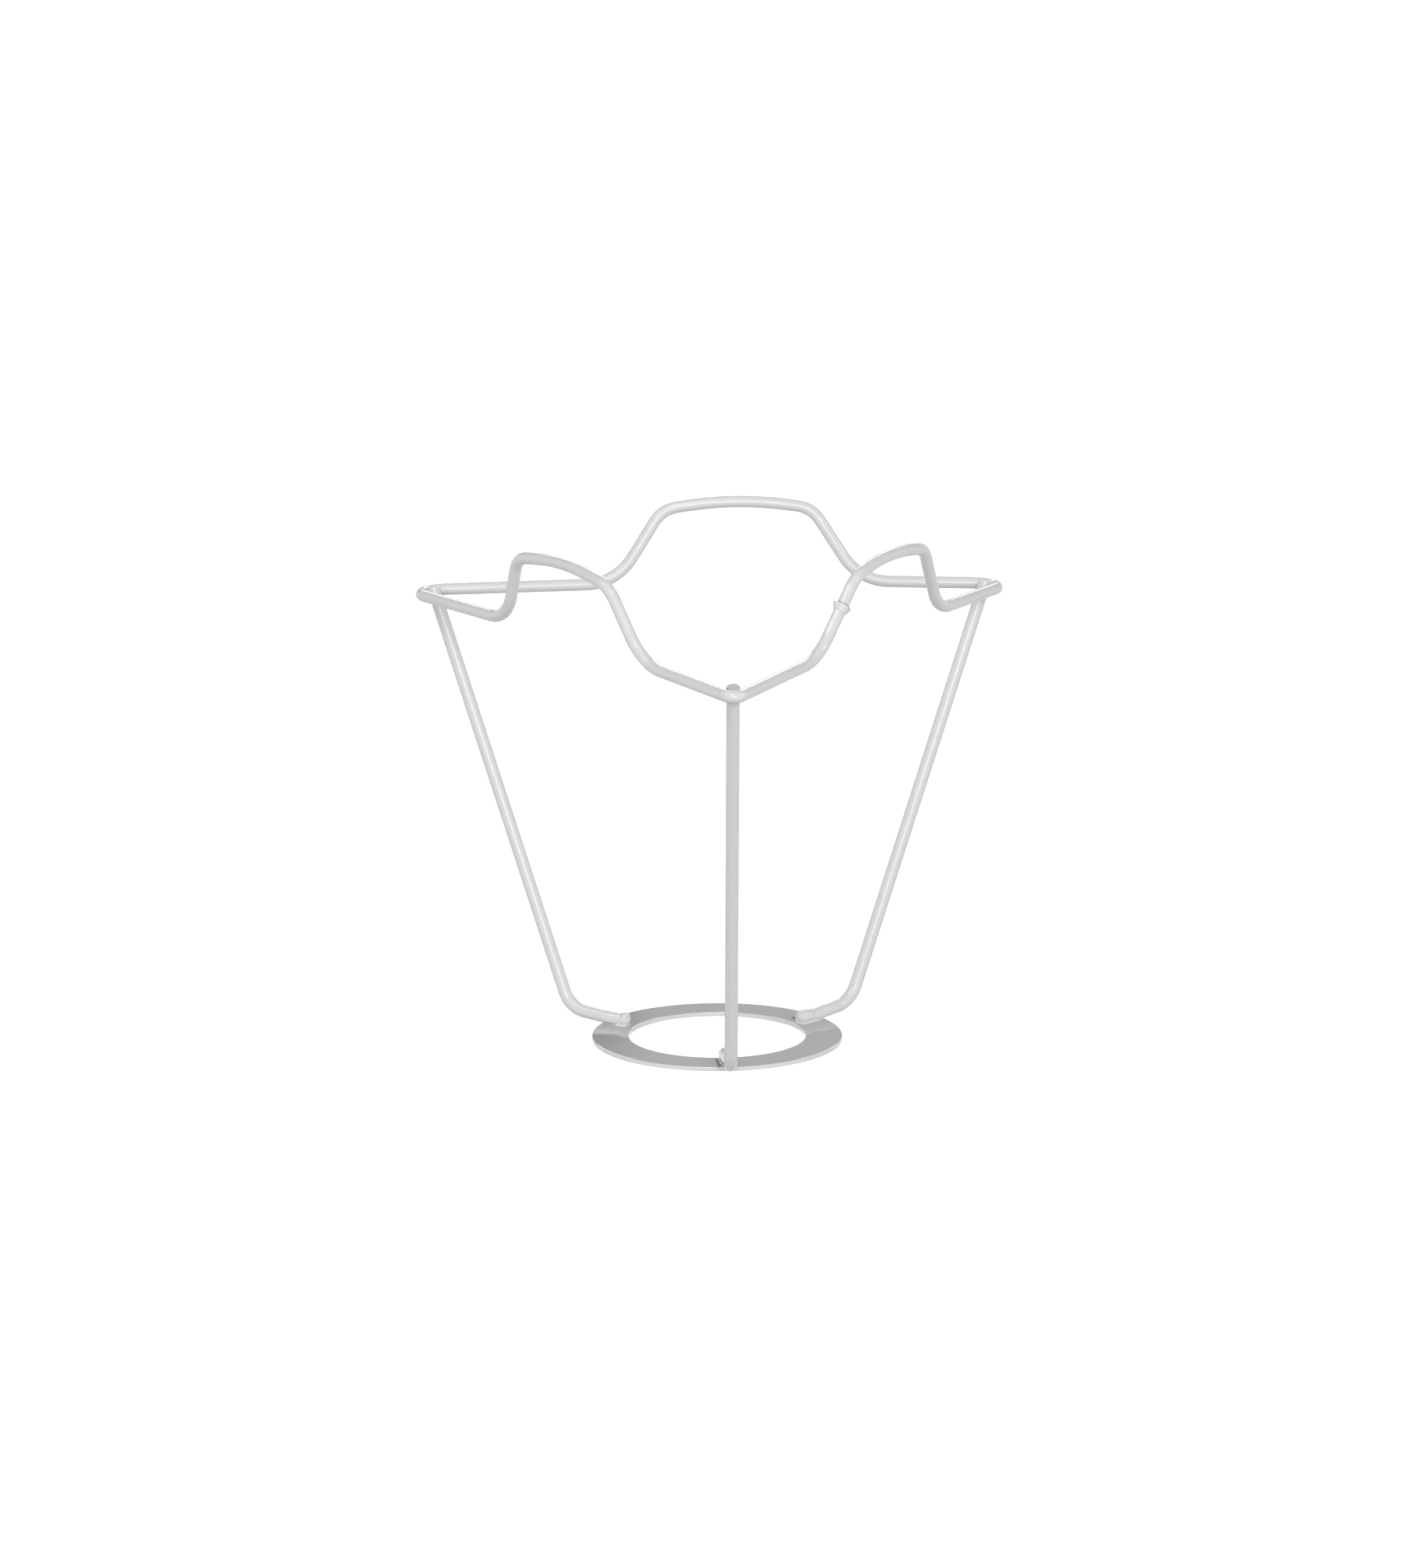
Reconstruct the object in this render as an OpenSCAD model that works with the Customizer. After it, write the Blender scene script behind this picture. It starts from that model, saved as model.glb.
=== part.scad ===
// Shade carrier for a lampholder, welded from wire and painted white.
// A flat gallery ring drops over the threaded lampholder and is clamped there. Three bent
// legs stand on it and hold the crown: one closed wire with three low corners, on which the
// ring of a lamp shade rests, and three raised lobes between them, which keep it centred.
// Millimetres, +Z up. The origin is on the axis, at the underside of the gallery ring.

/* [Gallery ring] */
// Hole that drops over the threaded lampholder
ring_hole = 41; // [38:0.5:43]
// Width of the flat ring, from the hole to its outer edge
ring_w = 8.5; // [7.5:0.5:12]
// Thickness of the sheet
ring_t = 1; // [0.8:0.1:1.6]
// Rounding of the stamped edges, all but the lower edge of the hole
ring_edge_r = 0.2; // [0.1:0.05:0.3]

/* [Legs] */
// Wire diameter of the legs
leg_wire = 3; // [2.5:0.1:4]
// How far outside the gallery ring a leg and its foot would meet
leg_standoff = 9; // [7.5:0.5:12]
// Bend radius between leg and foot, to the middle of the wire
leg_bend_r = 6.5; // [5:0.5:8]
// How far each foot lands round the ring from below its corner of the crown, in degrees
leg_twist = 2; // [0:0.5:5]
// Height of a leg's cut top end over the middle of the crown's corner
leg_overrun = 1.6; // [0:0.1:3]
// How far a foot slopes down before its welded end
foot_drop = 1.1; // [0.5:0.1:2]
// Length of the welded end, which lies flat
foot_flat = 4; // [3:0.5:6]
// Depth by which the weld sinks a foot's wire into the sheet
foot_sink = 0.35; // [0.1:0.05:0.5]

/* [Feet] */
// Distance of the front foot's end from the edge of the hole
front_foot_setback = 1; // [0.5:0.25:2.5]
// Turn of the front foot off the straight line to the axis, in degrees
front_foot_turn = 0; // [-10:1:10]
// Distance of the right foot's end from the edge of the hole
right_foot_setback = 1; // [0.5:0.25:2.5]
// Turn of the right foot off the straight line to the axis, in degrees
right_foot_turn = 9; // [-10:1:10]
// Distance of the left foot's end from the edge of the hole
left_foot_setback = 2; // [0.5:0.25:2.5]
// Turn of the left foot off the straight line to the axis, in degrees
left_foot_turn = -4; // [-10:1:10]

/* [Crown] */
// Wire diameter of the crown
crown_wire = 2.8; // [2.4:0.1:3.4]
// Distance from the axis to each straight side, to the middle of the wire
side_dist = 41; // [39:0.5:46]
// Height of the three corners, to the middle of the wire
crown_height = 98.5; // [80:0.5:130]
// Bend radius of the front corner, to the middle of the wire
front_corner_bend_r = 2; // [2:0.5:7]
// Bend radius of the right corner, to the middle of the wire
right_corner_bend_r = 5; // [2:0.5:7]
// Bend radius of the left corner, to the middle of the wire
left_corner_bend_r = 5.5; // [2:0.5:7]
// Rise of a side from its corner to the foot of its lobe
side_rise = 1; // [0:0.25:2]
// Bend radius at the foot of a lobe
lobe_foot_r = 13; // [8:0.5:14]
// Bend radius at the shoulder of a lobe
lobe_shoulder_r = 7.5; // [4:0.5:8]
// Height of the two sloping halves of a lobe's top over its shoulders
lobe_arch = 2.5; // [1.5:0.25:3]
// Bend radius that rounds the top of a lobe
lobe_arch_r = 80; // [50:5:80]
// How far the top of a lobe leans outwards
lobe_lean = 3; // [0:0.5:5]
// Depth by which the weld sinks the side of a leg into the crown's corner
corner_sink = 0.3; // [0.1:0.05:0.5]

/* [Front right lobe] */
// Shift of the lobe along its side, away from the front corner
front_right_shift = 0.5; // [-7:0.5:7]
// Half the width of the lobe at its foot
front_right_foot = 31; // [28:0.5:33]
// Half the width of the lobe at its shoulders
front_right_top = 17.5; // [17:0.5:20]
// Rise of the shoulders over the foot
front_right_rise = 17; // [12:0.5:22]

/* [Back lobe] */
// Shift of the lobe along its side, away from the right corner
back_shift = -7; // [-7:0.5:7]
// Half the width of the lobe at its foot
back_foot = 28.5; // [28:0.5:33]
// Half the width of the lobe at its shoulders
back_top = 17.5; // [17:0.5:20]
// Rise of the shoulders over the foot
back_rise = 17; // [12:0.5:22]

/* [Front left lobe] */
// Shift of the lobe along its side, away from the left corner
front_left_shift = 4.5; // [-7:0.5:7]
// Half the width of the lobe at its foot
front_left_foot = 29; // [28:0.5:33]
// Half the width of the lobe at its shoulders
front_left_top = 19.5; // [17:0.5:20]
// Rise of the shoulders over the foot
front_left_rise = 16.5; // [12:0.5:22]

/* [Welds] */
// Distance of the crown's butt weld from the shoulder above it
butt_weld_drop = 8; // [5:0.5:12]
// Diameter of the collar of metal squeezed out by the butt weld
butt_weld_d = 4; // [3.6:0.1:5]
// Length of that collar above the seam, where it is short and steep
butt_weld_above = 0.5; // [0.4:0.1:0.8]
// Length of that collar below the seam, where it runs out on the wire
butt_weld_below = 1.3; // [0.8:0.1:2]
// Rounding of the collar's rim
butt_weld_round = 0.2; // [0.1:0.05:0.3]
// Radius of the drop of metal between a leg and the crown's corner
bead_r = 0.9; // [0.7:0.1:1.4]
// Height of the metal squeezed out along a foot
flash_h = 0.3; // [0.1:0.05:0.4]
// Width of that metal outside the flattened wire, on each side
flash_w = 0.3; // [0.1:0.05:0.5]
// Bevel of the cut wire ends under the paint
cut_bevel = 0.3; // [0.1:0.05:0.5]

/* [Hidden] */
$fn = 48;
paint = [0.86, 0.86, 0.85];
// The corners of the crown, and the legs below them, by their angle round the axis
front_a = -90;
right_a = 30;
left_a = 150;
// The crown is a triangle in plan with three equal sides and its corners bent round
corner_half_a = 180 / 3 / 2;
corner_r = side_dist / sin(corner_half_a);
ring_hole_r = ring_hole / 2;
ring_r = ring_hole_r + ring_w;
// Height of the wire in a foot's welded end, and of the line where leg and foot would meet
foot_h = ring_t + leg_wire / 2 - foot_sink;
leg_base_h = foot_h + foot_drop;
leg_base_r = ring_r + leg_standoff;
foot_len = leg_base_r - ring_hole_r;
eps = 0.01;
// How much thicker the wire is in a bend, and how far the straights run into it
swell = 0.02;
lap = 0.05;
// How many straight steps an edge rounding of the sheet has
edge_steps = 4;

// A point at a distance from the axis, an angle round it and a height
function polar(r, a, h) = [r * cos(a), r * sin(a), h];
function unit(v) = v / norm(v);

// Bending of a wire. A route is a list of [corner point, bend radius] pairs: the wire runs
// straight between them, and each corner is rounded by a bend that starts a set-back before it.
function heading(route, i) = unit(route[i + 1][0] - route[i][0]);
function turn(route, i) = acos(max(-1, min(1, heading(route, i - 1) * heading(route, i))));
function set_back(route, i) =
    i == 0 || i == len(route) - 1 ? 0 : route[i][1] * tan(turn(route, i) / 2);
function bend_axis(route, i) = unit(cross(heading(route, i - 1), heading(route, i)));

// Puts its children at a point, with their X axis and Y axis along two directions
module place(p, x, y) {
    z = cross(x, y);
    multmatrix([
        [x.x, y.x, z.x, p.x],
        [x.y, y.y, z.y, p.y],
        [x.z, y.z, z.z, p.z],
    ]) children();
}

// Puts its children on a route after corner i, with their Z axis along the wire
module on_straight(route, i, along = 0) {
    z = heading(route, i);
    y = bend_axis(route, max(1, i));
    place(route[i][0] + z * along, cross(y, z), y) children();
}

// The straight after corner i, which laps into the bends at its ends
module straight(route, d, i) {
    from = i == 0 ? 0 : set_back(route, i) - lap;
    whole = norm(route[i + 1][0] - route[i][0]);
    to = i == len(route) - 2 ? whole : whole - set_back(route, i + 1) + lap;
    on_straight(route, i, from) cylinder(d = d, h = to - from);
}

// The bend at corner i, swept round its centre. The wire swells a little there.
module bend(route, d, i) {
    r = route[i][1];
    come = heading(route, i - 1);
    inwards = cross(bend_axis(route, i), come);
    place(route[i][0] - come * set_back(route, i) + inwards * r, -inwards, come)
        rotate_extrude(angle = turn(route, i)) translate([r, 0]) circle(d = d + swell);
}

module bent_wire(route, d) {
    for (i = [0:len(route) - 2]) {
        straight(route, d, i);
        if (i > 0) bend(route, d, i);
    }
}

// Quarter circle of points for a rounded edge, round a centre, from angle a on
function edge_arc(cx, cy, a) =
    [for (i = [0:edge_steps]) let (t = a + 90 * i / edge_steps)
        [cx + ring_edge_r * cos(t), cy + ring_edge_r * sin(t)]];

module gallery_ring() {
    color(paint) rotate_extrude($fn = 144) polygon(concat(
        edge_arc(ring_r - ring_edge_r, ring_t - ring_edge_r, 0),
        edge_arc(ring_hole_r + ring_edge_r, ring_t - ring_edge_r, 90),
        [[ring_hole_r, 0]],
        edge_arc(ring_r - ring_edge_r, ring_edge_r, 270)));
}

// Distance from the axis to the wire in the middle of a corner of the crown, and the slope
// of a leg that leans out to it
function apex_r(bend_r) = corner_r - bend_r * (1 / sin(corner_half_a) - 1);
function leg_slope(bend_r) =
    atan((apex_r(bend_r) - leg_base_r) / (crown_height - leg_base_h));

// Distance from the axis to the top of a leg. The leg's side touches the inside of the
// corner's bend, or the two sides of the crown where the bend is tighter than the leg.
function leg_top_r(bend_r) =
    let (reach = crown_wire / 2 + leg_wire / 2 / cos(leg_slope(bend_r)) - corner_sink)
    min(apex_r(bend_r) - reach, corner_r - reach / sin(corner_half_a));

// The route of a leg, from its cut top end down to the end of its foot
function leg_route(a, bend_r, foot_turn, foot_setback) =
    let (
        base = polar(leg_base_r, a + leg_twist, leg_base_h),
        joint = polar(leg_top_r(bend_r), a, crown_height),
        up = joint - base,
        inwards = -polar(1, a + leg_twist + foot_turn, 0),
        foot_start = base + inwards * (foot_len - foot_setback - foot_flat)
    )
    [
        [joint + up * leg_overrun / up.z, 0],
        [base, leg_bend_r],
        [[foot_start.x, foot_start.y, foot_h], leg_bend_r],
        [[foot_start.x, foot_start.y, foot_h] + inwards * foot_flat, 0],
    ];

// A wire end of a leg as it is cut, with the bevel that the paint leaves
module end_bevel() {
    difference() {
        translate([0, 0, -eps]) cylinder(d = leg_wire + 1, h = cut_bevel + eps);
        cylinder(d1 = leg_wire - 2 * cut_bevel, d2 = leg_wire + eps, h = cut_bevel + eps / 2);
    }
}

// The metal squeezed out on both sides of a foot's welded end
module foot_flash() {
    wide = sqrt(pow(leg_wire / 2, 2) - pow(leg_wire / 2 - foot_sink, 2)) + flash_w;
    translate([0, foot_flat, 0]) rotate([90, 0, 0]) linear_extrude(foot_flat)
        polygon([[-wide, 0], [wide, 0], [wide - flash_w / 2, flash_h], [flash_w / 2 - wide, flash_h]]);
}

module leg(a, bend_r, foot_turn, foot_setback) {
    route = leg_route(a, bend_r, foot_turn, foot_setback);
    foot_end = route[3][0];
    joint = polar(leg_top_r(bend_r) + leg_wire / 2 / cos(leg_slope(bend_r)), a, crown_height);
    color(paint) difference() {
        union() {
            difference() {
                bent_wire(route, leg_wire);
                on_straight(route, 0) end_bevel();
            }
            translate(joint) sphere(r = bead_r);
            translate([foot_end.x, foot_end.y, ring_t])
                rotate([0, 0, a + leg_twist + foot_turn - 90]) foot_flash();
        }
        translate([0, 0, -ring_r]) cylinder(r = leg_base_r, h = ring_r + ring_t);
        crown();
    }
}

// The corners of one side of the crown, from the foot of its lobe to the next corner, which
// has the bend radius next_r. The side runs counter-clockwise from the corner at angle a.
function side_route(a, next_r, shift, foot, top, rise) =
    let (
        along = polar(1, a + 180 - corner_half_a, 0),
        out = polar(1, a + 90 - corner_half_a, 0),
        low = out * side_dist + along * shift + [0, 0, crown_height + side_rise],
        high = low + out * lobe_lean + [0, 0, rise]
    )
    [
        [low - along * foot, lobe_foot_r],
        [high - along * top, lobe_shoulder_r],
        [high + [0, 0, lobe_arch], lobe_arch_r],
        [high + along * top, lobe_shoulder_r],
        [low + along * foot, lobe_foot_r],
        [polar(corner_r, a + 120, crown_height), next_r],
    ];

// The crown's whole route, from its butt weld once round and back to it. It starts on the
// front stretch of the front right lobe, below the shoulder.
function crown_route() =
    let (
        front_right = side_route(front_a, right_corner_bend_r, front_right_shift,
                                 front_right_foot, front_right_top, front_right_rise),
        back = side_route(right_a, left_corner_bend_r, back_shift,
                          back_foot, back_top, back_rise),
        front_left = side_route(left_a, front_corner_bend_r, front_left_shift,
                                front_left_foot, front_left_top, front_left_rise),
        weld = front_right[1][0] - butt_weld_drop * heading(front_right, 0)
    )
    concat([[weld, 0]], [for (i = [1:5]) front_right[i]], back, front_left,
           [front_right[0], [weld, 0]]);

// The collar squeezed out where the two ends of the crown's wire are butt welded
module butt_weld_collar() {
    hidden_r = crown_wire / 2 - lap;
    rim_r = butt_weld_d / 2;
    rotate_extrude() polygon([
        [0, -butt_weld_below],
        [hidden_r, -butt_weld_below],
        [rim_r - butt_weld_round, -2 * butt_weld_round],
        [rim_r, 0],
        [rim_r - butt_weld_round / 2, butt_weld_round],
        [hidden_r, butt_weld_above],
        [0, butt_weld_above],
    ]);
}

module crown() {
    bent_wire(crown_route(), crown_wire);
    on_straight(crown_route(), 0) butt_weld_collar();
}

module front_leg() { leg(front_a, front_corner_bend_r, front_foot_turn, front_foot_setback); }
module right_leg() { leg(right_a, right_corner_bend_r, right_foot_turn, right_foot_setback); }
module left_leg() { leg(left_a, left_corner_bend_r, left_foot_turn, left_foot_setback); }
module crown_wire() { color(paint) crown(); }

gallery_ring();
front_leg();
right_leg();
left_leg();
crown_wire();
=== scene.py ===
# %% [markdown]
# # A painted wire carrier for a lamp shade
# Three bent wire legs stand on a flat ring and hold a wavy crown of the same kind of wire.
# All of it is steel, welded and then painted glossy white, so the whole look rests on three
# things: clean round wires, soft paint that fills the corners of the welds, and light that
# is broad enough to show a white thing on a white ground.

# %% Load the frame
import math

import bmesh
import bpy
from mathutils import Matrix, Vector


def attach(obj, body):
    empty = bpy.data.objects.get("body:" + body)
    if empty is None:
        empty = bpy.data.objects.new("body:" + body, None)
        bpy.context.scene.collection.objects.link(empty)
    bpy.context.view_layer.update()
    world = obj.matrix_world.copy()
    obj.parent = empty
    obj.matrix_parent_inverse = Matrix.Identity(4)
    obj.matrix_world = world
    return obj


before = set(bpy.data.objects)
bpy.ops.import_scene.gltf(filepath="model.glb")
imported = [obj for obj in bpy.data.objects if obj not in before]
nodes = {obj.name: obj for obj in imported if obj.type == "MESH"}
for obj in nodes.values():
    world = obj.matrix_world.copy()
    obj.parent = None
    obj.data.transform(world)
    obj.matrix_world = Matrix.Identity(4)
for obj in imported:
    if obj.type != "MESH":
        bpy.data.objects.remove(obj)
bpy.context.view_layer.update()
MM = 0.001
print("nodes:", sorted(nodes))

# %% [markdown]
# ## The camera
# A small product is photographed from far away with a long lens, so that its upright lines
# stay nearly parallel. The camera stands almost in front of the front leg, a little to the
# left and 13 degrees above the table. It looks at a point just beside the axis, at about half
# the height.

# %% Camera
IMAGE_HEIGHT_PX = 2016
FOCAL_LENGTH_PX = 9966
camera_turn = math.radians(-2.73)
camera_rise = math.radians(12.87)
camera_roll = math.radians(-0.13)
camera_distance = 1781.8 * MM
orbit_centre = Vector((0, 0, 65 * MM))
aim_point = Vector((-1.65 * MM, 0, 60.6 * MM))

back = Vector((
    math.sin(camera_turn) * math.cos(camera_rise),
    -math.cos(camera_turn) * math.cos(camera_rise),
    math.sin(camera_rise),
))
camera_data = bpy.data.cameras.new("camera")
camera_data.sensor_width = 36
camera_data.lens = camera_data.sensor_width * FOCAL_LENGTH_PX / IMAGE_HEIGHT_PX
camera = bpy.data.objects.new("camera", camera_data)
bpy.context.scene.collection.objects.link(camera)
camera.location = orbit_centre + back * camera_distance
look = (aim_point - camera.location).to_track_quat("-Z", "Y").to_matrix()
camera.rotation_euler = (look @ Matrix.Rotation(camera_roll, 3, "Z")).to_euler()
bpy.context.scene.camera = camera
print("camera at", [round(c, 3) for c in camera.location], "lens", round(camera_data.lens, 1))

# %% [markdown]
# ## Where the welds are
# The looks are built round the welds, so their places come first. A leg's foot and its top
# end follow from the sizes that the wire was bent to, in millimetres.

# %% Weld places
WIRE_R = 1.5
SHEET_TOP = 1.0
FOOT_WIRE_H = 2.15
LEG_BASE_R = 38.0
LEG_BASE_H = 3.25
LEG_TWIST = 2.0
FOOT_RUN = 17.5
CROWN_H = 98.5
LEG_OVERRUN = 1.6
UP = Vector((0, 0, 1))
legs = {
    "front_leg": {"corner": -90, "foot_turn": 0, "setback": 1.0, "top_r": 76.61},
    "right_leg": {"corner": 30, "foot_turn": 9, "setback": 1.0, "top_r": 74.30},
    "left_leg": {"corner": 150, "foot_turn": -4, "setback": 2.0, "top_r": 73.80},
}


def polar(r, degrees, h):
    return Vector((r * math.cos(math.radians(degrees)), r * math.sin(math.radians(degrees)), h))


for name, leg in legs.items():
    base = polar(LEG_BASE_R, leg["corner"] + LEG_TWIST, LEG_BASE_H)
    joint = polar(leg["top_r"], leg["corner"], CROWN_H)
    leg["up"] = (joint - base).normalized()
    leg["top"] = joint + (joint - base) * LEG_OVERRUN / (joint.z - base.z)
    leg["contact"] = joint + polar(WIRE_R, leg["corner"], 0)
    leg["outwards"] = polar(1, leg["corner"], 0)
    leg["inwards"] = -polar(1, leg["corner"] + LEG_TWIST + leg["foot_turn"], 0)
    leg["aside"] = leg["inwards"].cross(UP)
    leg["tip"] = base + leg["inwards"] * (FOOT_RUN - leg["setback"])
    leg["tip"].z = FOOT_WIRE_H
    print(name, "foot ends at", [round(c, 1) for c in leg["tip"]],
          "top ends at", [round(c, 1) for c in leg["top"]])

# %% [markdown]
# The two ends of the crown's wire meet on the front slope of the right lobe. The slope runs
# from the lobe's foot up to its shoulder, and the butt weld is 8 mm below the shoulder.

# %% Butt weld place
SIDE_DIST = 41.0
LOBE_LEAN = 3.0
SIDE_RISE = 1.0
lobe = {"shift": 0.5, "foot": 31.0, "top": 17.5, "rise": 17.0, "weld_drop": 8.0}
side_along = polar(1, 60, 0)
side_out = polar(1, -30, 0)
lobe_low = side_out * SIDE_DIST + side_along * lobe["shift"] + UP * (CROWN_H + SIDE_RISE)
lobe_high = lobe_low + side_out * LOBE_LEAN + UP * lobe["rise"]
slope_foot = lobe_low - side_along * lobe["foot"]
shoulder = lobe_high - side_along * lobe["top"]
slope_up = (shoulder - slope_foot).normalized()
butt_weld = shoulder - slope_up * lobe["weld_drop"]
print("butt weld at", [round(c, 1) for c in butt_weld])

# %% [markdown]
# ## Small helpers for materials
# Every material here is a short chain of nodes. One helper makes a node and fills in its
# sockets, so that a chain reads from the pattern down to the shader.

# %% Node helpers
def new_material(name):
    material = bpy.data.materials.new(name)
    material.use_nodes = True
    material.node_tree.nodes.clear()
    return material


def add_node(tree, kind, inputs=None, **settings):
    made = tree.nodes.new(kind)
    for key, value in settings.items():
        setattr(made, key, value)
    for key, value in (inputs or {}).items():
        if isinstance(value, bpy.types.NodeSocket):
            tree.links.new(value, made.inputs[key])
        else:
            made.inputs[key].default_value = value
    return made


def mix_colour(tree, factor, first, second):
    return add_node(tree, "ShaderNodeMix", {0: factor, 6: first, 7: second},
                    data_type="RGBA").outputs[2]


def math_node(tree, operation, *values):
    return add_node(tree, "ShaderNodeMath", dict(enumerate(values)), operation=operation).outputs[0]


def ramp(tree, value, span, at_low, at_high):
    """Runs straight from at_low to at_high over the span of the value, and is level beyond it."""
    return add_node(tree, "ShaderNodeMapRange", {
        "Value": value, "From Min": span[0], "From Max": span[1],
        "To Min": at_low, "To Max": at_high}).outputs[0]


# %% [markdown]
# A mark on the paint is a small body in space: an ellipsoid, a box or a diamond that is
# turned round the vertical through its centre. The mask is 1 inside it and 0 outside, and it
# fades over a thin shell at its surface.

# %% Marks in space
MARK_FADE = (0.85, 1.15)


def mark(form, centre, half, turn=0.0):
    return {"form": form, "centre": tuple(centre), "half": half, "turn": turn}


def mark_mask(tree, place, spot):
    centre = [c * MM for c in spot["centre"]]
    turned = add_node(tree, "ShaderNodeVectorRotate", {
        "Vector": place, "Center": centre, "Angle": -math.radians(spot["turn"])},
        rotation_type="Z_AXIS")
    away = add_node(tree, "ShaderNodeVectorMath", {
        0: turned.outputs[0], 1: centre}, operation="SUBTRACT")
    share = add_node(tree, "ShaderNodeVectorMath", {
        0: away.outputs[0], 1: [h * MM for h in spot["half"]]}, operation="DIVIDE")
    if spot["form"] == "ellipsoid":
        reach = add_node(tree, "ShaderNodeVectorMath", {0: share.outputs[0]},
                         operation="LENGTH").outputs["Value"]
    else:
        sizes = add_node(tree, "ShaderNodeVectorMath", {0: share.outputs[0]}, operation="ABSOLUTE")
        each = add_node(tree, "ShaderNodeSeparateXYZ", {0: sizes.outputs[0]}).outputs
        join = "MAXIMUM" if spot["form"] == "box" else "ADD"
        reach = math_node(tree, join, each[0], each[1])
        reach = math_node(tree, "MAXIMUM", reach, each[2])
    return ramp(tree, reach, MARK_FADE, 1.0, 0.0)


# %% [markdown]
# ## The paint
# White gloss paint is a pale diffuse base under a clear, smooth film. The base gets a very slight
# drift of tone, because paint on wire is never equally thick, and the film gets long, shallow
# waves, the orange peel. Small marks beside the welds and at the corners turn the colour to a dark
# steel grey mottled with specks of paint, and one of them is painted shade in a crease. The ring's
# film is thicker and mirrors more, and where a surface faces up its colour is darker: painted
# shade, for the weaker light from above.

# %% Paint material
DRIFT_SCALE = 45.0
DRIFT_TONES = (0.97, 1.02)
PAINTED_SHADE_FACING = (0.6, 0.98)
GRAIN_SCALE = 3500.0
GRAIN_SPAN = (0.45, 0.7)
DARK_STEEL_AND_SHADE = (0.045, 0.045, 0.05, 1)
PAINT_SPECK = (0.5, 0.51, 0.52, 1)


def make_paint(name, tone, roughness, peel_length, peel_depth, marks, gloss=1.5, painted_top_shade=1.0):
    """painted_top_shade is the share of the tone that is left where the surface faces straight up:
    painted shade, for the weaker light from above.
    """
    material = new_material(name)
    tree = material.node_tree
    place = add_node(tree, "ShaderNodeTexCoord").outputs["Object"]
    drift = add_node(tree, "ShaderNodeTexNoise", {
        "Vector": place, "Scale": DRIFT_SCALE, "Detail": 1.0})
    thin, thick = ([c * share for c in tone] + [1] for share in DRIFT_TONES)
    colour = mix_colour(tree, drift.outputs["Fac"], thin, thick)
    # Painted shade: the colour is darkened where the surface faces up, standing in for the weaker
    # light from above.
    if painted_top_shade < 1:
        facing = add_node(tree, "ShaderNodeNewGeometry").outputs["Normal"]
        height = add_node(tree, "ShaderNodeSeparateXYZ", {0: facing}).outputs[2]
        top_shade = ramp(tree, height, PAINTED_SHADE_FACING, 1.0, painted_top_shade)
        colour = add_node(tree, "ShaderNodeVectorMath", {0: colour, "Scale": top_shade},
                          operation="SCALE").outputs[0]
    grain = add_node(tree, "ShaderNodeTexNoise", {
        "Vector": place, "Scale": GRAIN_SCALE, "Detail": 2.0})
    specks = ramp(tree, grain.outputs["Fac"], GRAIN_SPAN, 0.0, 1.0)
    steel_and_shade = mix_colour(tree, specks, DARK_STEEL_AND_SHADE, PAINT_SPECK)
    # Each mark mixes in the dark colour. On the wire, the line in the crease under the left foot is
    # painted shade.
    for spot in marks:
        colour = mix_colour(tree, mark_mask(tree, place, spot), colour, steel_and_shade)
    peel = add_node(tree, "ShaderNodeTexNoise", {
        "Vector": place, "Scale": 1 / (peel_length * MM), "Detail": 0.0})
    bump = add_node(tree, "ShaderNodeBump", {
        "Height": peel.outputs["Fac"], "Strength": 1.0, "Distance": peel_depth * MM})
    shader = add_node(tree, "ShaderNodeBsdfPrincipled", {
        "Base Color": colour, "Roughness": roughness, "IOR": gloss,
        "Normal": bump.outputs["Normal"]})
    add_node(tree, "ShaderNodeOutputMaterial", {"Surface": shader.outputs["BSDF"]})
    print("paint:", name, "with", len(marks), "bare marks")
    return material


# %% [markdown]
# The marks: a dark slit beside the front foot, nearly across the ring, a dark notch behind the
# right foot, pin holes at two corners, and a dark dot at the right end of the butt weld's seam. In
# the gap under the left foot, a dark line is painted shade in the crease. The wires, the ring and
# the front leg's cut end get a finish each, and the dark line on the collar's rim is painted shade.

# %% Dark marks, painted shade and the four finishes
front, right, left = (legs[name] for name in ("front_leg", "right_leg", "left_leg"))
sheet_marks = [
    mark("box", (-0.95, -25.2, SHEET_TOP), (0.5, 3.5, 0.5), turn=4.0),
    mark("diamond", (18.6, 14.2, SHEET_TOP), (0.8, 1.4, 0.5)),
]
# Painted shade: a dark line on the foot's paint in the crease where the left foot meets the ring.
left_gap_shade = left["tip"] - left["inwards"] * 4.3 + left["aside"] * 1.3
left_gap_shade.z = SHEET_TOP + 0.2
seam_side = slope_up.cross(back).normalized()
seam_end = butt_weld + slope_up * 0.15 + seam_side * 1.6 + back * 0.9
wire_marks_and_shade = [
    mark("box", left_gap_shade, (1.7, 0.5, 0.1), turn=left["corner"] + LEG_TWIST + left["foot_turn"]),
    mark("ellipsoid", front["top"] + Vector((-1.3, -0.75, -0.25)), (0.4, 0.3, 0.25)),
    mark("ellipsoid", front["top"] + Vector((-0.6, -1.45, -0.5)), (0.35, 0.25, 0.15)),
    mark("ellipsoid", left["contact"] + Vector((-0.2, -1.1, 1.25)), (0.35, 0.3, 0.3)),
    mark("ellipsoid", seam_end, (0.3, 0.3, 0.2)),
]
wire_paint = make_paint("wire_paint", (0.82, 0.82, 0.8), 0.16, 6.0, 0.0015, wire_marks_and_shade)
sheet_paint = make_paint("sheet_paint", (0.82, 0.82, 0.81), 0.045, 7.0, 0.002, sheet_marks,
                         gloss=1.8, painted_top_shade=0.7)
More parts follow.
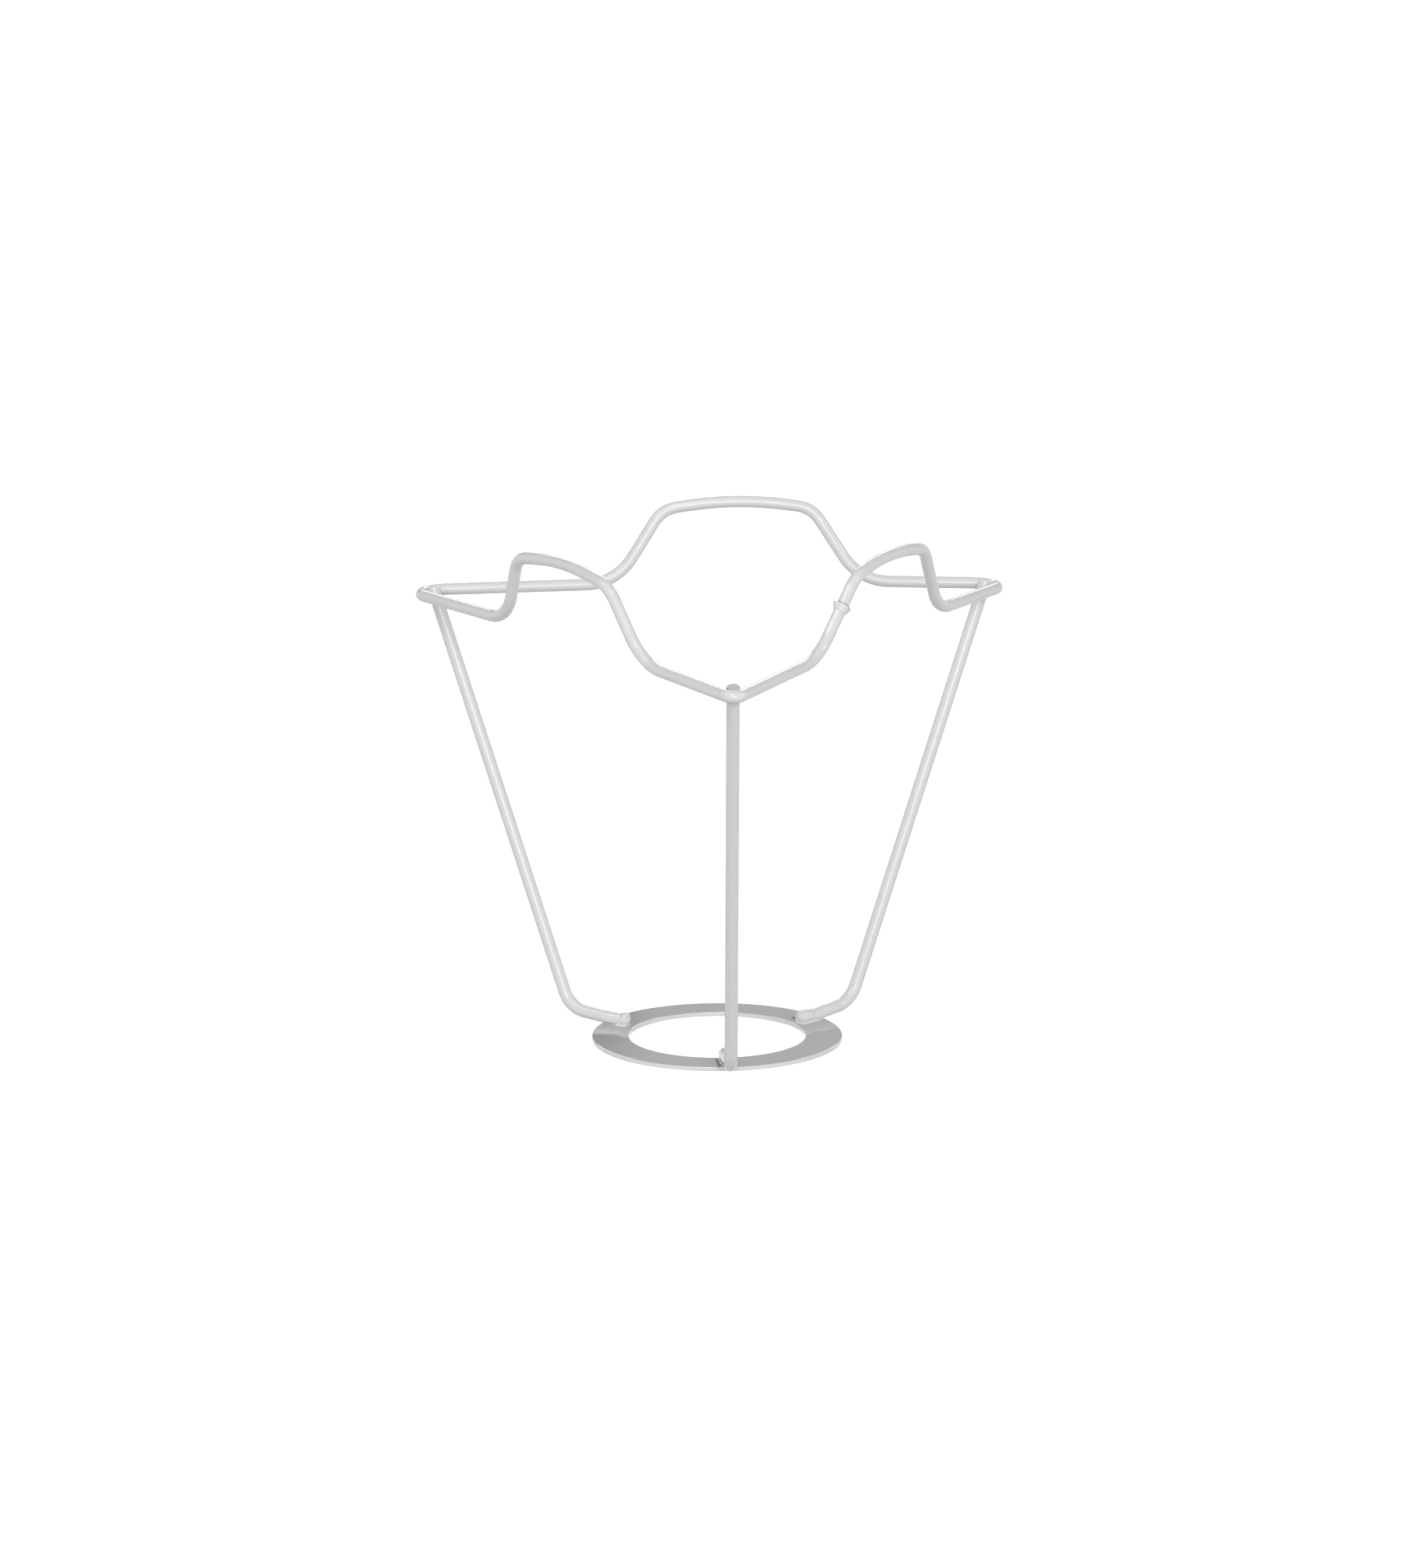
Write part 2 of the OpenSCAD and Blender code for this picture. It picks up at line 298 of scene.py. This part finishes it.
cut_paint = make_paint("cut_paint", (0.64, 0.645, 0.65), 0.25, 0.35, 0.02, wire_marks_and_shade)
# Painted shade: this dark finish on the collar's rim stands for the shadow of the step at the seam.
seam_painted_shade = make_paint("seam_painted_shade", (0.16, 0.16, 0.16), 0.4, 0.3, 0.01, [])


def paint_node(node, material):
    made = nodes[node].data.materials
    made.clear()
    made.append(material)


paint_node("gallery_ring", sheet_paint)
for wire in ("front_leg", "right_leg", "left_leg", "crown_wire"):
    paint_node(wire, wire_paint)

# %% [markdown]
# ## Paint in the corners of the welds
# Wet paint draws back from sharp edges and fills inner corners. Modelled by hand that is a
# fiddly fillet, but it can be grown instead: take a copy of the pieces round a weld, melt
# them into one skin of small voxels and smooth that skin. Smoothing shrinks what bulges, so
# the skin slips just under the wires, and fills what is hollow, so only the fillet shows.

# %% Weld skin
VOXEL = 0.1
SMOOTHING = 16
SINK = 0.02


def clipped_copy(node, centre, half):
    """A node's mesh in millimetres, cut to a box round a point and closed again."""
    part = bmesh.new()
    part.from_mesh(nodes[node].data)
    bmesh.ops.scale(part, vec=(1 / MM,) * 3, verts=part.verts)
    bmesh.ops.remove_doubles(part, verts=part.verts, dist=1e-4)
    for axis in range(3):
        for side in (-1, 1):
            normal = Vector((0, 0, 0))
            normal[axis] = side
            cut = bmesh.ops.bisect_plane(
                part, geom=part.verts[:] + part.edges[:] + part.faces[:],
                plane_co=centre + normal * half[axis], plane_no=normal, clear_outer=True)
            rim = [g for g in cut["geom_cut"] if isinstance(g, bmesh.types.BMEdge)]
            bmesh.ops.holes_fill(part, edges=rim)
    return part


def ride_along(piece):
    bpy.context.scene.collection.objects.link(piece)
    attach(piece, "root")
    print(piece.name, len(piece.data.polygons), "faces")


def weld_skin(name, welded, centre, half, drops):
    """drops is a list of (centre, radius) of the metal and paint that gathered at the weld."""
    mesh = bpy.data.meshes.new(name)
    whole = bmesh.new()
    for node in welded:
        part = clipped_copy(node, centre, half)
        part.to_mesh(mesh)
        part.free()
        whole.from_mesh(mesh)
    for drop_centre, radius in drops:
        bmesh.ops.create_icosphere(
            whole, subdivisions=3, radius=radius, matrix=Matrix.Translation(drop_centre))
    whole.to_mesh(mesh)
    whole.free()
    clay = bpy.data.objects.new(name + "_clay", mesh)
    bpy.context.scene.collection.objects.link(clay)
    melt = clay.modifiers.new("melt", "REMESH")
    melt.mode = "VOXEL"
    melt.voxel_size = VOXEL
    melt.use_smooth_shade = True
    smooth = clay.modifiers.new("smooth", "SMOOTH")
    smooth.factor = 0.5
    smooth.iterations = SMOOTHING
    shrink = clay.modifiers.new("shrink", "DISPLACE")
    shrink.strength = -SINK
    shrink.mid_level = 0
    evaluated = clay.evaluated_get(bpy.context.evaluated_depsgraph_get())
    grown = bpy.data.meshes.new_from_object(evaluated)
    bpy.data.objects.remove(clay)
    grown.transform(Matrix.Scale(MM, 4))
    grown.materials.clear()
    grown.materials.append(wire_paint)
    ride_along(bpy.data.objects.new(name, grown))


# %% [markdown]
# The ends of the two side feet are a little higher than the wire, where metal gathered on
# them. Beads of metal came out along both of their sides, but not along the front foot.

# %% Skins of the three feet
SWELL_START = 1.0
SWELL_LENGTH = 4.6
SWELL_STEPS = 12
FOOT_SWELL = {"front_leg": 0.0, "right_leg": 0.24, "left_leg": 0.14}
FOOT_BEADS = {"front_leg": 0, "right_leg": 9, "left_leg": 9}
BEAD_START = 0.4
BEAD_PITCH = 0.48
BEAD_ACROSS = 1.05
BEAD_R = 0.30
BEAD_WAVE = 0.08
BEAD_LIFT = 0.02
FOOT_BOX_BACK = 2.6
FOOT_BOX_H = 2.0
FOOT_BOX = (6.6, 6.6, 2.6)
for name, leg in legs.items():
    middle = leg["tip"] - leg["inwards"] * FOOT_BOX_BACK
    middle.z = FOOT_BOX_H
    drops = []
    for i in range(SWELL_STEPS):
        s = i / (SWELL_STEPS - 1)
        lift = FOOT_SWELL[name] * (1 - s)
        on_foot = leg["tip"] - leg["inwards"] * (SWELL_START + SWELL_LENGTH * s)
        drops.append((on_foot + UP * lift, WIRE_R))
    for i in range(FOOT_BEADS[name]):
        along = BEAD_START + BEAD_PITCH * i
        across = BEAD_ACROSS + BEAD_WAVE * math.sin(2.3 * i)
        for side in (-1, 1):
            bead = leg["tip"] - leg["inwards"] * along + leg["aside"] * side * across
            bead.z = SHEET_TOP + BEAD_LIFT
            drops.append((bead, BEAD_R + BEAD_WAVE * math.sin(4.1 * i + side)))
    weld_skin(name.replace("_leg", "_foot_weld"), [name, "gallery_ring"], middle, FOOT_BOX, drops)

# %% [markdown]
# At a corner the crown's wire runs past the outside of the leg, whose end stands just above
# it. On the left and right that end is drowned in weld metal, and at the front it shows.

# %% Skins of the three corners
CONTACT_DROP_R = 1.0
END_DROP_DEPTH = 1.5
END_DROP_R = 1.52
OUTER_DROP_OUT = 1.3
OUTER_DROP_R = 1.2
CORNER_BOX = (4.8, 4.8, 3.8)
for name, leg in legs.items():
    drops = [(leg["contact"], CONTACT_DROP_R)]
    if name != "front_leg":
        in_end = leg["top"] - leg["up"] * END_DROP_DEPTH
        drops.append((in_end, END_DROP_R))
        drops.append((in_end + leg["outwards"] * OUTER_DROP_OUT, OUTER_DROP_R))
    weld_skin(name.replace("_leg", "_corner_weld"), [name, "crown_wire"], leg["contact"],
              CORNER_BOX, drops)

# %% [markdown]
# ## Turned ends
# The front leg's cut end, the lips of the feet and the butt weld's collar are turned bodies: a
# profile that runs once round the wire's axis. A few slow waves in the turn keep them from
# looking machined.

# %% Turned body
TURN_STEPS = 96


def turned_body(name, at, axis, sideways, profile, wave, material=wire_paint):
    """profile is a list of (radius, height); wave(angle, radius, height) gives their change."""
    turned = bmesh.new()
    rings = []
    for r, h in profile:
        ring = []
        for i in range(1 if r == 0 else TURN_STEPS):
            a = 2 * math.pi * i / TURN_STEPS
            dr, dh = wave(a, r, h)
            ring.append(turned.verts.new(((r + dr) * math.cos(a), (r + dr) * math.sin(a), h + dh)))
        rings.append(ring)
    for inner, outer in zip(rings, rings[1:]):
        for i in range(TURN_STEPS):
            j = (i + 1) % TURN_STEPS
            if len(inner) == 1:
                turned.faces.new((inner[0], outer[i], outer[j]))
            else:
                turned.faces.new((inner[i], outer[i], outer[j], inner[j]))
    for end in (rings[0], rings[-1]):
        if len(end) > 1:
            turned.faces.new(end)
    bmesh.ops.recalc_face_normals(turned, faces=turned.faces)
    z = axis.normalized()
    x = (sideways - z * sideways.dot(z)).normalized()
    turn = Matrix((x, z.cross(x), z)).transposed().to_4x4()
    bmesh.ops.transform(turned, matrix=Matrix.Scale(MM, 4) @ Matrix.Translation(at) @ turn,
                        verts=turned.verts)
    mesh = bpy.data.meshes.new(name)
    turned.to_mesh(mesh)
    turned.free()
    mesh.shade_smooth()
    mesh.materials.append(material)
    ride_along(bpy.data.objects.new(name, mesh))


# %% Cut end of the front leg
def burr_wave(a, r, h):
    slow = 0.5 * math.sin(2 * a + 0.7) + 0.3 * math.sin(5 * a + 2.1) + 0.2 * math.sin(9 * a)
    near_rim = max(0.0, min(1.0, (r - 0.9) / 0.5)) if h > -0.3 else 0.3
    return 0.03 * slow * near_rim, 0.06 * slow * near_rim


CUT_PROFILE = [
    (0.0, 0.03), (0.4, 0.015), (0.8, 0.015), (1.1, 0.02), (1.25, 0.05), (1.35, 0.08), (1.43, 0.07),
    (1.5, 0.02), (1.54, -0.08), (1.54, -0.2), (1.51, -0.5), (1.46, -0.8)]
turned_body("front_leg_cut", front["top"], front["up"], Vector((1, 0, 0)), CUT_PROFILE, burr_wave,
            cut_paint)


# %% Lips of the feet
def lip_wave(a, r, h):
    slow = 0.6 * math.sin(3 * a + 0.4) + 0.4 * math.sin(7 * a + 1.3)
    return 0.035 * slow * min(1.0, r), 0.03 * slow


LEFT_LIP = [
    (0.0, 0.2), (0.6, 0.19), (1.1, 0.15), (1.4, 0.08), (1.57, -0.08), (1.63, -0.35),
    (1.62, -0.7), (1.58, -0.95), (1.5, -1.08), (1.44, -1.3)]
turned_body("left_foot_lip", left["tip"] + UP * 0.18, left["inwards"], UP, LEFT_LIP, lip_wave)
RIGHT_LIP = [
    (0.0, 0.08), (0.7, 0.08), (1.1, 0.06), (1.35, 0.04), (1.5, -0.04), (1.58, -0.25),
    (1.58, -1.2), (1.57, -2.2), (1.53, -2.9), (1.45, -3.4)]
turned_body("right_foot_lip", right["tip"] + UP * 0.24, right["inwards"], UP, RIGHT_LIP, lip_wave)
FRONT_LIP = [
    (0.0, 0.12), (0.6, 0.11), (1.0, 0.05), (1.3, -0.1), (1.46, -0.35), (1.51, -0.7),
    (1.46, -1.2)]
turned_body("front_foot_lip", front["tip"], front["inwards"], UP, FRONT_LIP, lip_wave)


# %% Collar of the butt weld
def collar_wave(a, r, h):
    left_lobe = max(0.0, math.cos(a - math.radians(165))) ** 3
    right_lobe = max(0.0, math.cos(a + math.radians(10))) ** 4
    low = max(0.0, min(1.0, (r - 1.42) / 0.5))
    ripple = 0.01 * math.sin(7 * a + 1.0)
    return (0.2 * left_lobe + ripple) * low, (0.1 * left_lobe - 0.2 * right_lobe) * low


COLLAR_PROFILE = [
    (1.36, 0.5), (1.42, 0.36), (1.45, 0.27), (1.96, 0.24), (2.01, 0.16), (2.02, 0.0),
    (1.99, -0.25), (1.85, -0.55), (1.66, -0.95), (1.5, -1.35), (1.38, -1.7)]
turned_body("butt_weld_collar", butt_weld, slope_up, seam_side, COLLAR_PROFILE, collar_wave)


# %% [markdown]
# Along the sharp upper rim of the collar runs a hair line of dark colour: painted shade, for the
# shadow of the step between the collar and the upper wire. It dips under the paint on the left and
# behind, so its ring is sunk there.

# %% Painted shade line at the butt weld's seam
def shade_line_wave(a, r, h):
    shade_side = math.cos(a + math.radians(50))
    sunk = 0.25 * max(0.0, min(1.0, 0.4 - 1.2 * shade_side))
    dr, dh = collar_wave(a, r, h)
    return dr - sunk + 0.012 * math.sin(17 * a), dh + 0.015 * math.sin(11 * a)


SHADE_LINE_PROFILE = [(1.9, 0.3), (1.99, 0.29), (2.045, 0.24), (2.05, 0.14), (1.95, 0.1)]
turned_body("butt_weld_shade_line", butt_weld, slope_up, seam_side, SHADE_LINE_PROFILE, shade_line_wave, seam_painted_shade)

# %% [markdown]
# ## Floor, world and lamps
# The floor is wide enough to fill the camera's picture. It is a plain diffuse grey with a
# share of its own light, which only the camera and reflections see: that makes the ground
# white and keeps the soft shadow, without throwing more light on the object.

# %% Floor
FLOOR_HALF = 9.0
FLOOR_GREY = (0.45, 0.45, 0.45, 1)
FLOOR_OWN_LIGHT = 0.86
floor_mesh = bpy.data.meshes.new("floor")
floor_mesh.from_pydata(
    [(-FLOOR_HALF, -FLOOR_HALF, 0), (FLOOR_HALF, -FLOOR_HALF, 0),
     (FLOOR_HALF, FLOOR_HALF, 0), (-FLOOR_HALF, FLOOR_HALF, 0)], [], [(0, 1, 2, 3)])
floor = bpy.data.objects.new("floor", floor_mesh)
bpy.context.scene.collection.objects.link(floor)

floor_material = new_material("floor_white")
tree = floor_material.node_tree
light_path = add_node(tree, "ShaderNodeLightPath").outputs
seen = math_node(tree, "MAXIMUM", light_path["Is Camera Ray"], light_path["Is Glossy Ray"])
seen = math_node(tree, "MAXIMUM", seen, light_path["Is Transmission Ray"])
shaded = add_node(tree, "ShaderNodeBsdfDiffuse", {"Color": FLOOR_GREY})
own_light = add_node(tree, "ShaderNodeEmission", {
    "Strength": math_node(tree, "MULTIPLY", seen, FLOOR_OWN_LIGHT)})
both = add_node(tree, "ShaderNodeAddShader", {0: shaded.outputs[0], 1: own_light.outputs[0]})
add_node(tree, "ShaderNodeOutputMaterial", {"Surface": both.outputs[0]})
floor_mesh.materials.append(floor_material)
print("floor:", 2 * FLOOR_HALF, "m wide")

# %% [markdown]
# The world is a plain grey room: darker overhead, so that the flat ring stays darker than the
# upright wires, and white along the horizon, where it carries on from the floor. Far behind
# the object, on the left, a dark screen with a slanted edge gives the glossy ring something to
# mirror: its left side goes dark, and the foot's mirror image stands out in it.

# %% World
HORIZON_LIGHT = 0.58
ZENITH_LIGHT = 0.14
ROOM_RISE = (0.15, 0.7)
WHITE_BAND = (0.1, 0.18)
LEAST_BACKWARDS = 0.05
SCREEN_SLANT = 1.2
SLANT_START = 0.2645
SCREEN_EDGE = (0.3524, 0.3570)
SCREEN_FAR_EDGE = (-0.5, -0.3)
SCREEN_TOP = (0.32, 0.4)
world = bpy.data.worlds.new("studio")
bpy.context.scene.world = world
world.use_nodes = True
tree = world.node_tree
direction = add_node(tree, "ShaderNodeTexCoord").outputs["Generated"]
axes = add_node(tree, "ShaderNodeSeparateXYZ", {0: direction}).outputs
room = ramp(tree, axes[2], ROOM_RISE, HORIZON_LIGHT, ZENITH_LIGHT)
white_band = ramp(tree, axes[2], WHITE_BAND, 1 - HORIZON_LIGHT, 0.0)
room = math_node(tree, "ADD", room, white_band)
backwards = math_node(tree, "MAXIMUM", axes[1], LEAST_BACKWARDS)
sidewards = math_node(tree, "DIVIDE", axes[0], backwards)
upwards = math_node(tree, "DIVIDE", axes[2], backwards)
upwards = math_node(tree, "MAXIMUM", upwards, SLANT_START)
slanted = math_node(tree, "MULTIPLY_ADD", upwards, SCREEN_SLANT, sidewards)
screen = ramp(tree, slanted, SCREEN_EDGE, 1.0, 0.0)
for inside in (
    ramp(tree, sidewards, SCREEN_FAR_EDGE, 0.0, 1.0),
    ramp(tree, axes[2], SCREEN_TOP, 1.0, 0.0),
    math_node(tree, "GREATER_THAN", axes[2], WHITE_BAND[1]),
    math_node(tree, "GREATER_THAN", axes[1], LEAST_BACKWARDS),
):
    screen = math_node(tree, "MULTIPLY", screen, inside)
strength = math_node(tree, "MULTIPLY", room, math_node(tree, "SUBTRACT", 1.0, screen))
tree.links.new(strength, tree.nodes["Background"].inputs["Strength"])
tree.nodes["Background"].inputs["Color"].default_value = (1, 1, 1, 1)
bpy.context.scene.view_settings.view_transform = "Standard"
print("world: from", HORIZON_LIGHT, "low down to", ZENITH_LIGHT, "overhead")


# %% [markdown]
# A broad lamp in front adds to the room's light, and one behind lightens the far side. The
# three small ones are there for highlights on the glossy paint.

# %% Lamps
def softbox(name, size, watts, place, target=(0, 0, 0.06)):
    data = bpy.data.lights.new(name, "AREA")
    data.shape = "RECTANGLE"
    data.size, data.size_y = size
    data.energy = watts
    lamp = bpy.data.objects.new(name, data)
    bpy.context.scene.collection.objects.link(lamp)
    lamp.location = place
    lamp.rotation_euler = (Vector(target) - Vector(place)).to_track_quat("-Z", "Y").to_euler()
    print("softbox:", name, size, watts)


softbox("front", (1.4, 1.0), 21.5, (0.1, -2.2, 0.75))
softbox("back", (1.2, 0.5), 10, (0.1, 2.17, 1.07))
softbox("glint_right", (0.35, 0.35), 5, (1.83, -0.51, 1.12))
softbox("glint_left", (0.3, 0.3), 2.5, (-0.98, -0.12, 1.26))
softbox("glint_high", (0.45, 0.45), 4, (-0.32, -0.84, 1.33))
